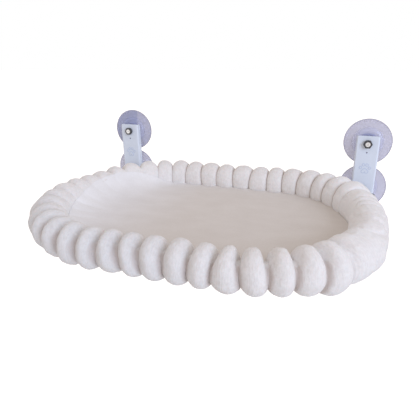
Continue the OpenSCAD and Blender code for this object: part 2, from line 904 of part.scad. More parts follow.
// Seat pad: its sides are drawn in along the bolster, and its top sags in the middle
module seat_pad() {
    hug_r = lobe_r + seat_gap;
    edge_angle = asin(-seat_sink / hug_r);
    edge_inset = hug_r * cos(edge_angle);
    inner_shares = [0.06, 0.2, 0.45, 0.75];
    inner_rise = [seat_crown, seat_crown / 2, -seat_dish / 2, -seat_dish];
    spread = bed_r - edge_inset;
    profile = concat(
        [[hug_r * cos(hug_angles[0]) + seat_gap, -lobe_r]],
        [for (g = hug_angles) [hug_r * cos(g), -hug_r * sin(g)]],
        [[edge_inset, -seat_sink]],
        [
            for (i = [0 : 3])
                [edge_inset + inner_shares[i] * spread, inner_rise[i] - seat_sink]
        ]
    );
    n = lobe_count;
    points = [
        for (p = profile)
            for (j = [0 : n - 1])
                let (q = line_point(1 - j / n, line_a - p[0], line_b - p[0], bed_r - p[0]))
                [q[0], q[1], p[1]]
    ];
    middles = [[0, 0, -lobe_r], [0, 0, profile[len(profile) - 1][1]]];
    color([0.88, 0.86, 0.84])
        translate([0, bed_y, bed_z])
            polyhedron(points = concat(points, middles), faces = ring_faces(len(profile), n));
}

// The lobes where the bolster's four solids meet, counted from the middle of the front
rear_middle = lobe_count / 2;
front_half = round(rear_middle / 2 * front_share);

suction_cup_at(-1, 1);  // suction_cup_upper_left
suction_cup_at(1, 1);  // suction_cup_upper_right
suction_cup_at(-1, -1);  // suction_cup_lower_left
suction_cup_at(1, -1);  // suction_cup_lower_right
cup_studs();
spring_washers();
stud_nuts();
bracket(-1);  // bracket_left
bracket(1);  // bracket_right
hinge_bracket(-1);  // hinge_bracket_left
hinge_bracket(1);  // hinge_bracket_right
hinge_screws();
hinge_screw_nuts();
hinge_pins();
hinge_pin_nuts();
swing_arm(-1);  // swing_arm_left
swing_arm(1);  // swing_arm_right
hinge_bushes();
frame_tube(-1);  // frame_tube_left
frame_tube(1);  // frame_tube_right
tube_joiner(-1);  // tube_joiner_front
tube_joiner(1);  // tube_joiner_rear
joiner_screws();
tube_screws();
tube_inserts();
sling();
fixing_straps();
seat_pad();
bolster(-front_half, front_half);  // bolster_front
bolster(rear_middle - front_half, rear_middle + front_half);  // bolster_rear
bolster(rear_middle + front_half, lobe_count - front_half);  // bolster_left
bolster(front_half, rear_middle - front_half);  // bolster_right
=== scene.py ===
import math

import bmesh
import bpy
import numpy as np
from mathutils import Matrix, Vector, noise


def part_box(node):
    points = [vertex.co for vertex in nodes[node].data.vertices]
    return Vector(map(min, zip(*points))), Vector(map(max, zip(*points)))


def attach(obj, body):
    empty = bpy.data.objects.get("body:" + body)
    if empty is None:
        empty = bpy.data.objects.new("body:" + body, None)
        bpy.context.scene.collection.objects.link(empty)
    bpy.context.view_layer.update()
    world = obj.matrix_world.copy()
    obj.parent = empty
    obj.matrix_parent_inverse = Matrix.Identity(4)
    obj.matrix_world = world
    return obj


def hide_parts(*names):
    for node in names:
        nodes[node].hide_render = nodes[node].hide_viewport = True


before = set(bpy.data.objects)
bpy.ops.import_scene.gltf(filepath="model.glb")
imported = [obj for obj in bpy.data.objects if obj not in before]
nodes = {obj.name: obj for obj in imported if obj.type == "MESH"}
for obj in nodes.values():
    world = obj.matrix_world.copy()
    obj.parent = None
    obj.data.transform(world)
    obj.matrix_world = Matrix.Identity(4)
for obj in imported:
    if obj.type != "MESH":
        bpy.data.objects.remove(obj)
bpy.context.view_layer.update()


# Suction cups: four mouldings of clear soft vinyl with a lilac tint. Each has a thin lip on
# the glass, a thick dome, and a neck that grips the head of a stud.
class Wire:
    """One output of a material's nodes. Arithmetic adds Math nodes, and node() adds any other."""

    def __init__(self, tree, socket=None):
        self.tree = tree
        self.socket = socket

    def plug(self, target, value):
        if isinstance(value, Wire):
            self.tree.links.new(value.socket, target)
        elif target.type == "RGBA":
            target.default_value = (*value, 1)
        else:
            target.default_value = value

    def node(self, kind, settings=None, values=None, output=0):
        new = self.tree.nodes.new(kind)
        for name, value in (settings or {}).items():
            if name == "stops":
                stops = new.color_ramp.elements
                for i, (at, colour) in enumerate(value):
                    stop = stops[i] if i < 2 else stops.new(at)
                    stop.position = at
                    stop.color = (*colour, 1)
            else:
                setattr(new, name, value)
        for name, value in (values or {}).items():
            self.plug(new.inputs[name], value)
        return Wire(self.tree, new.outputs[output])

    def maths(self, operation, *values, clamp=False):
        settings = {"operation": operation, "use_clamp": clamp}
        return self.node("ShaderNodeMath", settings, dict(enumerate(values)))

    def __add__(self, other):
        return self.maths("ADD", self, other)

    __radd__ = __add__

    def __sub__(self, other):
        return self.maths("SUBTRACT", self, other)

    def __rsub__(self, other):
        return self.maths("SUBTRACT", other, self)

    def __mul__(self, other):
        return self.maths("MULTIPLY", self, other)

    __rmul__ = __mul__

    def __truediv__(self, other):
        return self.maths("DIVIDE", self, other)

    def __pow__(self, other):
        return self.maths("POWER", self, other)

    def between(self, low, high):
        """0 up to low, 1 from high on, and a smooth rise in between."""
        values = {"Value": self, "From Min": low, "From Max": high}
        return self.node("ShaderNodeMapRange", {"interpolation_type": "SMOOTHSTEP"}, values)

    def tint(self, colour_0, colour_1, blend="MIX"):
        """The colour that this share gives between two colours."""
        settings = {"data_type": "RGBA", "blend_type": blend}
        return self.node("ShaderNodeMix", settings, {0: self, 6: colour_0, 7: colour_1}, output=2)

    def place(self):
        """The point in the row frame, in metres."""
        return self.node("ShaderNodeTexCoord", output="Object")

    def along(self, axis):
        """The point's coordinate on the axis X, Y or Z."""
        return self.node("ShaderNodeSeparateXYZ", values={0: self.place()}, output=axis)

    def kept(self, name):
        """What note() has kept for the point under that name."""
        return self.node("ShaderNodeAttribute", {"attribute_name": name}, output="Fac")

    def stretched(self, scale):
        """This vector with its three axes scaled."""
        values = {0: self, 1: scale}
        return self.node("ShaderNodeVectorMath", {"operation": "MULTIPLY"}, values)

    def seen_directly(self):
        """1 for rays from the camera, in gloss and through clear pieces, and 0 for the rest."""
        rays = ("Is Camera Ray", "Is Glossy Ray", "Is Transmission Ray")
        camera, gloss, through = (self.node("ShaderNodeLightPath", output=ray) for ray in rays)
        return self.maths("MAXIMUM", camera, self.maths("MAXIMUM", gloss, through))

    def noise(self, scale, detail=2, rough=0.5, at=None):
        """Cloudy noise with that many cells in a metre."""
        values = {"Vector": at or self.place(), "Scale": scale, "Detail": detail, "Roughness": rough}
        return self.node("ShaderNodeTexNoise", values=values)

    def relief(self, height, depth, strength=1.0):
        """A normal that shows a height of 0 to 1 as so many metres of depth."""
        values = {"Strength": strength, "Distance": depth, "Height": height}
        return self.node("ShaderNodeBump", values=values)


def finish(shades):
    """A material whose Principled sockets take what shades(wire) gives for them."""
    material = bpy.data.materials.new(shades.__name__)
    material.use_nodes = True
    shader = material.node_tree.nodes["Principled BSDF"]
    wire = Wire(material.node_tree)
    for socket, value in shades(wire).items():
        wire.plug(shader.inputs[socket], value)
    return material


def dress(material, *names):
    for name in names:
        slots = nodes[name].data.materials
        slots.clear()
        slots.append(material)


def ease_edges(width, *names):
    """Joins a CAD node's loose faces and rounds its sharp edges, as a modifier."""
    for name in names:
        weld = nodes[name].modifiers.new("weld", "WELD")
        weld.merge_threshold = 1e-6
        bevel = nodes[name].modifiers.new("eased_edges", "BEVEL")
        bevel.width = width
        bevel.segments = 2
        bevel.limit_method = "ANGLE"
        bevel.angle_limit = math.radians(32)
        bevel.harden_normals = True


cup_names = [f"suction_cup_{level}_{side}" for level in ("upper", "lower") for side in ("left", "right")]
upper_cup_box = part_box("suction_cup_upper_right")
cup_centre = (upper_cup_box[0] + upper_cup_box[1]) / 2
cup_r = (upper_cup_box[1].x - upper_cup_box[0].x) / 2
cup_x = cup_centre.x
stud_z = cup_centre.z


def from_stud(w):
    """Distance from the nearest stud's axis. The four studs mirror one another."""
    across = w.maths("ABSOLUTE", w.along("X")) - cup_x
    up = w.maths("ABSOLUTE", w.along("Z")) - stud_z
    return w.maths("SQRT", across * across + up * up)


def cup_vinyl(w):
    """Pale at the flange, bluer over the dome, deep blue at the neck, and grey at the rim. On the
    upper left cup a painted shadow of the bracket darkens the colour, more so left of an upright line near
    its middle."""
    reach = from_stud(w) / cup_r
    cloud = w.noise(70, detail=3)
    dome = 1 - reach.between(0.60, 0.68)
    neck = 1 - reach.between(0.34, 0.46)
    rim = reach.between(0.93, 0.99)
    # Painted shadow of the bracket on the upper left cup, deeper left of this line
    painted_shadow_edge = -cup_x + 0.0107
    painted_shadow = 1 - (w.along("X") - painted_shadow_edge).between(-0.0008, 0.0008) * 0.55
    upper_left = w.maths("LESS_THAN", w.along("X"), 0) * w.maths("GREATER_THAN", w.along("Z"), 0)
    flange = (dome * 0.75 + cloud * 0.25).tint((0.66, 0.66, 0.78), (0.58, 0.60, 0.78))
    flange_in_painted_shadow = (painted_shadow * upper_left).tint(flange, (0.62, 0.66, 0.78), blend="MULTIPLY")
    with_neck = neck.tint(flange_in_painted_shadow, (0.34, 0.38, 0.62))
    return {
        "Base Color": (rim * 0.8).tint(with_neck, (0.44, 0.44, 0.56)),
        "Roughness": 0.16 + 0.16 * cloud,
        "Transmission Weight": 0.55,
        "IOR": 1.46,
        "Normal": w.relief(w.noise(240, detail=2), 0.0004, 0.35),
    }


dress(finish(cup_vinyl), *cup_names)


# Studs, split washers and thin nuts: zinc-plated steel, turned and stamped. Each stud's head
# is moulded into a cup's neck, and the nut draws the bracket against the neck.
def bright_zinc(w):
    """Turned zinc plate, with a dull centre mark in the end of each stud."""
    turning = w.noise(1, detail=3, at=w.place().stretched((2600, 300, 2600)))
    stain = w.noise(160, detail=4)
    centre_mark = 1 - from_stud(w).between(0.0006, 0.0018)
    return {
        "Base Color": (stain - centre_mark * 0.9).tint((0.62, 0.61, 0.60), (0.86, 0.86, 0.87)),
        "Metallic": 1.0,
        "Roughness": 0.18 + 0.22 * stain,
        "Normal": w.relief(turning, 0.00008),
    }


def dull_zinc(w):
    """Dark zinc plate, as stamped, scratched by the spanner."""
    stain = w.noise(220, detail=4)
    scratch = w.noise(1, detail=2, at=w.place().stretched((900, 900, 5200)))
    return {
        "Base Color": stain.tint((0.045, 0.045, 0.05), (0.13, 0.13, 0.14)),
        "Metallic": 1.0,
        "Roughness": 0.28 + 0.2 * scratch,
        "Normal": w.relief(scratch, 0.00008),
    }


def dark_spring_steel(w):
    stain = w.noise(300, detail=4)
    return {
        "Base Color": stain.tint((0.06, 0.06, 0.065), (0.16, 0.15, 0.15)),
        "Metallic": 1.0,
        "Roughness": 0.35 + 0.25 * stain,
        "Normal": w.relief(stain, 0.00008),
    }


bright = finish(bright_zinc)
dull = finish(dull_zinc)
dress(bright, "cup_studs")
dress(finish(dark_spring_steel), "spring_washers")
dress(dull, "stud_nuts")
ease_edges(0.0005, "stud_nuts", "cup_studs")
ease_edges(0.0003, "spring_washers")


# Wall brackets: folded steel channels with a satin powder coat in a pale blue-white, the
# flanges turned to the glass, a drilled hole and a pressed paw mark under the upper stud.
paw_w = 0.019
paw_z = stud_z - 0.043
toe_share = 0.11
toe_shares = ((-0.38, 0.1), (-0.15, 0.36), (0.15, 0.36), (0.38, 0.1))
pad_share = 0.15
pad_shares = ((0, -0.1), (-0.14, -0.24), (0.14, -0.24))


def powder_coat(w):
    """Satin coat with a fine peel. A darker blue round the edge of the pressed paw mark is painted shade, in
    place of the shading of its relief.
    """
    peel = w.noise(620, detail=3)
    cloud = w.noise(28, detail=3)
    across = w.maths("ABSOLUTE", w.along("X")) - cup_x
    up = w.along("Z") - paw_z
    nearest = 1.0
    for spots, radius in ((toe_shares, toe_share * paw_w), (pad_shares, pad_share * paw_w)):
        for spot_x, spot_z in spots:
            x = across - spot_x * paw_w
            z = up - spot_z * paw_w
            nearest = w.maths("MINIMUM", nearest, w.maths("SQRT", x * x + z * z) - radius)
    # Painted shade along the edges of the pressed paw mark
    edge = 1 - w.maths("ABSOLUTE", nearest).between(0.0001, 0.0012)
    coat = cloud.tint((0.72, 0.80, 0.92), (0.78, 0.85, 0.96))
    return {
        "Base Color": (edge * 0.45).tint(coat, (0.40, 0.50, 0.72)),
        "Roughness": 0.34 + 0.12 * peel,
        "Normal": w.relief(peel, 0.00022, 0.8),
    }


paint = finish(powder_coat)
dress(paint, "bracket_left", "bracket_right")
ease_edges(0.0006, "bracket_left", "bracket_right")


# Hinge brackets, with the screws and nuts that hold them: the same painted steel, fixed
# under the lower studs where the bed hides them.
dress(paint, "hinge_bracket_left", "hinge_bracket_right")
ease_edges(0.0006, "hinge_bracket_left", "hinge_bracket_right")
dress(bright, "hinge_screws")
dress(dull, "hinge_screw_nuts")
ease_edges(0.0005, "hinge_screws", "hinge_screw_nuts")


# Hinge pins with lock nuts, and flanged bushes of white nylon in the arms' cheeks.
def bush_nylon(w):
    cloud = w.noise(180, detail=3)
    return {
        "Base Color": cloud.tint((0.74, 0.74, 0.70), (0.84, 0.84, 0.80)),
        "Roughness": 0.42 + 0.12 * cloud,
        "Normal": w.relief(w.noise(1500), 0.00006),
    }


dress(bright, "hinge_pins")
dress(dull, "hinge_pin_nuts")
dress(finish(bush_nylon), "hinge_bushes")
ease_edges(0.0004, "hinge_pins", "hinge_pin_nuts", "hinge_bushes")


# Swing arms: folded channels, open below, painted as the brackets are. The pin's eye is at
# the rear, the heel bears on the hinge bracket, and the tube is screwed on top.
dress(paint, "swing_arm_left", "swing_arm_right")
ease_edges(0.0006, "swing_arm_left", "swing_arm_right")


# Tube frame: bent steel tube in two halves with inner joiners, screws, and brass inserts.
def tube_paint(w):
    peel = w.noise(800, detail=3)
    drawn = w.noise(1, detail=2, at=w.place().stretched((60, 60, 900)))
    return {
        "Base Color": drawn.tint((0.72, 0.77, 0.86), (0.80, 0.83, 0.90)),
        "Roughness": 0.3 + 0.12 * peel,
        "Normal": w.relief(peel, 0.00016, 0.7),
    }


def insert_brass(w):
    stain = w.noise(260, detail=4)
    return {
        "Base Color": stain.tint((0.55, 0.42, 0.20), (0.78, 0.62, 0.32)),
        "Metallic": 1.0,
        "Roughness": 0.25 + 0.2 * stain,
        "Normal": w.relief(stain, 0.0001),
    }


tube_coat = finish(tube_paint)
dress(tube_coat, "frame_tube_left", "frame_tube_right")
dress(bright, "tube_joiner_front", "tube_joiner_rear", "joiner_screws", "tube_screws")
dress(finish(insert_brass), "tube_inserts")
ease_edges(0.0004, "joiner_screws", "tube_screws", "tube_inserts")


# Bolster: one long tube of white short-pile plush, stuffed, closed to a ring, and gathered
# by a sewn valley between every two lobes.
lobe_count = 44
line_corner_r = 0.150
steps_in_lobe = 16
steps_round = 96

bolster_names = [f"bolster_{side}" for side in ("front", "rear", "left", "right")]
bolster_low = Vector([min(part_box(n)[0][i] for n in bolster_names) for i in range(3)])
bolster_high = Vector([max(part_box(n)[1][i] for n in bolster_names) for i in range(3)])
bed_centre = (bolster_low + bolster_high) / 2
lobe_r = (bolster_high.z - bolster_low.z) / 2
line_a = bolster_high.x - lobe_r
line_b = (bolster_high.y - bolster_low.y) / 2 - lobe_r


def bolster_line(share, a, b, r):
    """Places and outward directions on a rounded rectangle. Share 0 is the middle of the
    front, and it goes on towards +X."""
    quarter = (a - r) + (b - r) + math.pi * r / 2
    turn = (share % 1) * 4
    k = np.floor(turn).astype(int)
    run = np.where(k % 2 == 0, turn - k, 1 - (turn - k)) * quarter
    angle = np.clip((run - (a - r)) / r, 0, math.pi / 2)
    past = np.clip(run - (a - r) - math.pi * r / 2, 0, None)
    x = np.minimum(run, a - r) + r * np.sin(angle)
    y = -(b - r) - r * np.cos(angle) + past
    side_x = np.where(k < 2, 1, -1)
    side_y = np.where((k == 0) | (k == 3), 1, -1)
    return x * side_x, y * side_y, np.sin(angle) * side_x, -np.cos(angle) * side_y


def stand(name, data):
    """A new object in the scene, with this mesh, lamp or camera."""
    piece = bpy.data.objects.new(name, data)
    bpy.context.scene.collection.objects.link(piece)
    return piece


def wrapped_grid(name, points, closed_rows=True):
    """A piece through points[row][column]; the columns close on themselves."""
    rows, columns = points.shape[:2]
    index = np.arange(rows * columns).reshape(rows, columns)
    last = rows if closed_rows else rows - 1
    a = index[:last]
    b = np.roll(index, -1, axis=0)[:last]
    faces = np.stack([a, np.roll(a, -1, axis=1), np.roll(b, -1, axis=1), b], axis=-1).reshape(-1, 4)
    mesh = bpy.data.meshes.new(name)
    mesh.from_pydata(points.reshape(-1, 3).tolist(), [], faces.tolist())
    mesh.shade_smooth()
    return stand(name, mesh)


def note(piece, name, values):
    """Keeps one number for each point, which a material reads by that name."""
    attribute = piece.data.attributes.new(name, "FLOAT", "POINT")
    attribute.data.foreach_set("value", np.asarray(values, np.float32).ravel())


def ruffle(points, scale, seed):
    """Smooth noise of -1 to 1 at each point, with that many cells in a metre."""
    shift = Vector((seed * 3.7, seed * 1.3, seed * 2.1))
    found = [noise.noise(Vector(p) * scale + shift) for p in points.reshape(-1, 3).tolist()]
    return np.array(found).reshape(points.shape[:-1])


def ease(value, low, high):
    """0 up to low, 1 from high on, and a smooth rise in between."""
    share = np.clip((value - low) / (high - low), 0, 1)
    return share * share * (3 - 2 * share)


# Every ring of points has the same angles, from the outer side over the top to the seat's side
ring_angle = np.arange(steps_round)[None, :] * 2 * np.pi / steps_round
lobe_pitch = 0.0297
pleat_reach = 0.0035
pleat_depth = 0.0012
valley_plain = 0.0095
# Lobes that stand out of the ring: middle and reach in lobes, height, and angle above the level
bulges = (
    (6.4, 0.8, 0.0075, -1.5),
    (8.0, 1.5, 0.0050, -0.3),
    (14.6, 1.3, 0.0080, 1.0),
    (16.8, 1.6, 0.0050, 1.4),
    (31.2, 1.9, -0.0060, 1.4),
    (34.8, 2.2, 0.0075, -0.9),
    (37.2, 1.3, -0.0022, -1.4),
)


def lobe_places(chance):
    """Which lobe each row of points is in, its share of the way through the lobe, and its
    points' places along the ring, in lobes."""
    even = np.arange(steps_in_lobe) / steps_in_lobe
    t = 0.3 * even + 0.7 * (0.5 - 0.5 * np.cos(np.pi * even))
    t = np.tile(t, lobe_count)[:, None]
    lobe = np.repeat(np.arange(lobe_count), steps_in_lobe)
    after = (lobe + 1) % lobe_count

    # The seamstress's spacing: the valleys drift along the ring, and none is quite straight
    shift = chance.normal(0, 0.022, lobe_count)[:, None]
    lean_out, lean_up = chance.normal(0, 0.04, (2, lobe_count))[..., None]
    valley_shift = shift + lean_out * np.cos(ring_angle) + lean_up * np.sin(ring_angle)
    along = lobe[:, None] + t + (1 - t) * valley_shift[lobe] + t * valley_shift[after]

    # The lobes are a little wider on one side of the ring, and the front ones' tops lean left
    along = along + 0.165 + 0.36 * np.cos(2 * np.pi * along / lobe_count + 0.98)
    past_front = (along + lobe_count / 2) % lobe_count - lobe_count / 2
    upward = np.clip(np.sin(ring_angle), 0, 1)
    along = along - 0.15 * np.exp(-(((past_front + 0.5) / 3) ** 2)) * upward
    return lobe, t, along


def plush_ring():
    """Points of the ring, and what is kept for each: how deep in a valley it lies, widened in places
    and with the folds added, as a mask for painted shade in the furrows; its place along the ring
    in lobes; its distance from the ring's middle line; how much painted light falls on the right
    end and the left end's wall; and how much painted shade lies on the front towards the left."""
    chance = np.random.default_rng(11)
    lobe, t, along = lobe_places(chance)
    after = (lobe + 1) % lobe_count
    x, y, out_x, out_y = bolster_line(along / lobe_count, line_a, line_b, line_corner_r)
    angle = ring_angle
    inward = np.clip(-np.cos(angle), 0, 1)
    upward = np.clip(np.sin(angle), 0, 1)
    downward = np.clip(-np.sin(angle), 0, 1)

    # The left end's lobes run out into the seat, and the right end is stuffed smooth
    front = ease(-y / line_b, -0.2, 0.6)
    left_end = ease(-x / line_a, 0.35, 0.95)
    right_end = ease(x / line_a + 0.1 * front + 0.05 * ease(y / line_b, 0, 1), 0.89, 1.0)
    slack = 1 - left_end * inward**0.7 * 0.9 - right_end * (0.9 - 0.35 * inward * upward)
    open_top = np.maximum(upward**1.4 * front, 0.8 * left_end * (1 - inward) * (1 - 0.7 * downward))
    back_wall = inward * (1 - front)
    outer_front = front * (1 - inward)
    face = outer_front * (1 - upward**2) * (1 - 0.6 * downward**2)
    right_front = outer_front * ease(x / line_a, 0.2, 0.7) * np.clip(np.sin(angle + 0.5), 0, 1)
    left_front = outer_front * ease(-x / line_a, -0.4, 0.3) * np.clip(np.sin(angle + 0.8), 0, 1)
    left_face = left_end * (1 - inward) * ease(-y / line_b, -0.6, 0.2)

    # How far a point has swollen out, from 0 in a valley to 1 on a crest
    fullness = 2.3 + 0.2 * back_wall * (1 - left_end) + 0.9 * open_top * front - 0.5 * face
    fullness -= 0.6 * left_front + 0.5 * left_face
    crest_width = 1 - 0.16 * open_top * (1 - 0.6 * left_end)
    crest_width -= 0.07 * right_front + 0.12 * left_front * (1 - left_end)
    skew = 1 + 0.14 * outer_front
    off_crest = np.clip(np.abs(2 * t**skew - 1) / crest_width, 0, 1)
    swell = (1 - off_crest**fullness) ** (0.6 + 0.1 * open_top + 0.1 * face)
    valley = valley_plain + 0.0012 * upward + 0.0055 * open_top + 0.002 * face - 0.0015 * downward
    valley -= 0.0006 * left_end * open_top
    valley = valley * slack * (1 - 0.5 * back_wall)

    # Stuffing differs from lobe to lobe, and pleats run out from every valley
    stuffing = (1 + chance.normal(0, 0.014, lobe_count))[lobe][:, None]
    pleats = sum(
        np.cos(turns * angle + chance.uniform(0, 6.28, (lobe_count, 1))) for turns in (9, 14, 19)
    )
    pleats = np.clip(pleats / 2, 0, 1) ** 1.5
    near_0 = np.exp(-t * lobe_pitch / pleat_reach)
    near_1 = np.exp(-(1 - t) * lobe_pitch / pleat_reach)
    pleat = pleats[lobe] * near_0 + pleats[after] * near_1
    hang = 0.0022 * downward + 0.004 * left_end * (1 - inward)
    own_middle = along.reshape(lobe_count, steps_in_lobe, -1).mean(axis=1)[lobe]
    place = along + (own_middle - along) * swell
    for middle, reach, bulge, aim in bulges:
        toward = np.clip(np.cos(angle - aim), 0, 1)
        hang += bulge * toward * np.exp(-(((place - middle) / reach) ** 2))
    radius = lobe_r * stuffing + hang - valley * (1 - swell) - pleat_depth * pleat * swell * slack

    # The surface sags and its pile is uneven. Long folds cross the smooth right end
    level = radius * np.cos(angle)
    points = np.stack([x + out_x * level, y + out_y * level, radius * np.sin(angle)], axis=-1)
    heart = np.stack([x, y, np.zeros_like(x)], axis=-1)
    outward = (points - heart) / radius[..., None]
    points += np.array(bed_centre)
    sag = 0.0009 * ruffle(points, 26, 1) + 0.0006 * ruffle(points, 70, 2)
    pile = 0.0005 * ruffle(points, 190, 3) + 0.0004 * ruffle(points, 400, 4)
    points += outward * ((sag + pile) * np.clip(swell * 1.4, 0, 1))[..., None]
    fold = np.clip(1 - np.abs(ruffle(points, 13, 10)) / 0.1, 0, 1) ** 1.5
    fold *= ease(x / line_a, 0.8, 1.0) * np.clip(np.sin(angle + 0.2), 0, 1)
    dent = 0.0030 * right_end * ruffle(points, 19, 9) - 0.0034 * fold
    points += outward * dent[..., None]

    # Painted shade: the valley mask is widened on the front and at the left end, and the folds are added to
    # it
    shade = 1 + 0.3 * face + 0.5 * left_face + 0.3 * left_front
    depth = (1 - swell) * slack * (1 - 0.5 * open_top * front) * shade + 0.2 * fold
    reach = np.linalg.norm(points - heart - np.array(bed_centre), axis=-1)
    # Painted shade: a mask that makes the front towards the left greyer and softens its valley colour
    painted_front_left_shade = front**2 * ease(-x / line_a, -0.7, 0.3) * (1 - inward)
    # Painted light: a mask that makes the right end and the left end's wall paler and cooler
    painted_light = ease(x / line_a, 0.55, 0.95) * (1 - 0.8 * np.clip(np.cos(angle), 0, 1))
    painted_light = np.maximum(painted_light, 0.4 * left_end * (1 - painted_front_left_shade))
    return points, depth, along, reach, painted_light, painted_front_left_shade


ring_points, ring_depth_and_shade, ring_along, ring_reach, ring_painted_light, ring_painted_front_left_shade = plush_ring()
bolster = wrapped_grid("bolster", ring_points)
bolster.data.flip_normals()
# These notes carry painted shade in the valleys and on the front towards the left, and painted light on the
# right end and the left end's wall
note(bolster, "valley", ring_depth_and_shade)
note(bolster, "along", ring_along)
note(bolster, "painted_light", ring_painted_light)
note(bolster, "painted_front_left_shade", ring_painted_front_left_shade)
note(bolster, "turn", np.broadcast_to(np.abs(ring_angle - np.pi), ring_along.shape))


def plush(w):
    """Short dense pile with white tips. Painted light makes it paler and cooler at the right end and
    the left end's wall, painted shade makes it greyer on the front towards the left, and warm
    painted shade darkens the valleys."""
    tuft = w.noise(230, detail=4, rough=0.65)
    fibre = w.noise(1000, detail=2, rough=0.6)
    patch = w.noise(45, detail=2)
    lengthwise = {0: w.kept("along") * 22, 1: w.kept("turn") * 3.5}
    streak = w.noise(1, detail=3, at=w.node("ShaderNodeCombineXYZ", values=lengthwise))
    shade = (tuft * 0.35 + fibre * 0.15 + patch * 0.1 + streak * 0.4).between(0.36, 0.64)
    plain = shade.tint((0.80, 0.783, 0.772), (0.905, 0.893, 0.892))
    # Greyer tips: painted shade
    flat = shade.tint((0.731, 0.730, 0.735), (0.827, 0.832, 0.849))
    # Paler, cooler tips: painted light
    upright = shade.tint((0.89, 0.895, 0.92), (0.96, 0.965, 0.985))
    tips = w.kept("painted_light").tint(w.kept("painted_front_left_shade").tint(plain, flat), upright)
    # Warm painted shade in the valleys
    painted_furrow_shade = w.kept("painted_front_left_shade").tint((0.62, 0.56, 0.53), (0.66, 0.625, 0.62))
    return {
        "Base Color": w.kept("valley").between(0.4, 1.0).tint(tips, painted_furrow_shade),
        "Roughness": 0.95,
        "Specular IOR Level": 0.2,
        "Sheen Weight": 0.35,
        "Sheen Roughness": 0.5,
        "Subsurface Weight": 0.12,
        "Subsurface Radius": (1.0, 0.75, 0.65),
        "Subsurface Scale": 0.004,
        "Normal": w.relief(tuft * 0.4 + fibre * 0.15 + streak * 0.45, 0.0028, 0.6),
    }


plush_cloth = finish(plush)
bolster.data.materials.append(plush_cloth)
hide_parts(*bolster_names)
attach(bolster, "bed")


# Seat pad: a thin quilt of short fleece over soft wadding. Its side is drawn in along the
# bolster, and its middle has been sat on, so that it sags a little.
seat_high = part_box("seat_pad")[1]
seat_gap = 0.0003
seat_edge_drop = bed_centre.z - seat_high.z + 0.0008
seat_sag = 0.0022
seat_cap = 0.004
seat_columns = 8 * lobe_count


def wall_reach(share, above):
    """Distance from the bolster's middle line to its surface on the seat's side, at an angle
    above the level, for places along the ring."""
    level = steps_round // 2
    quarter = steps_round // 4
    table = np.array([
        np.interp(share * lobe_count, ring_along[:, k], ring_reach[:, k], period=lobe_count)
        for k in range(level + quarter, level - quarter - 1, -1)
    ])
    at = np.clip(above * steps_round / (2 * np.pi) + quarter, 0, 2 * quarter - 0.001)
    low = np.floor(at).astype(int)
    place = np.arange(len(share))
    return table[low, place] * (1 - at + low) + table[low + 1, place] * (at - low)


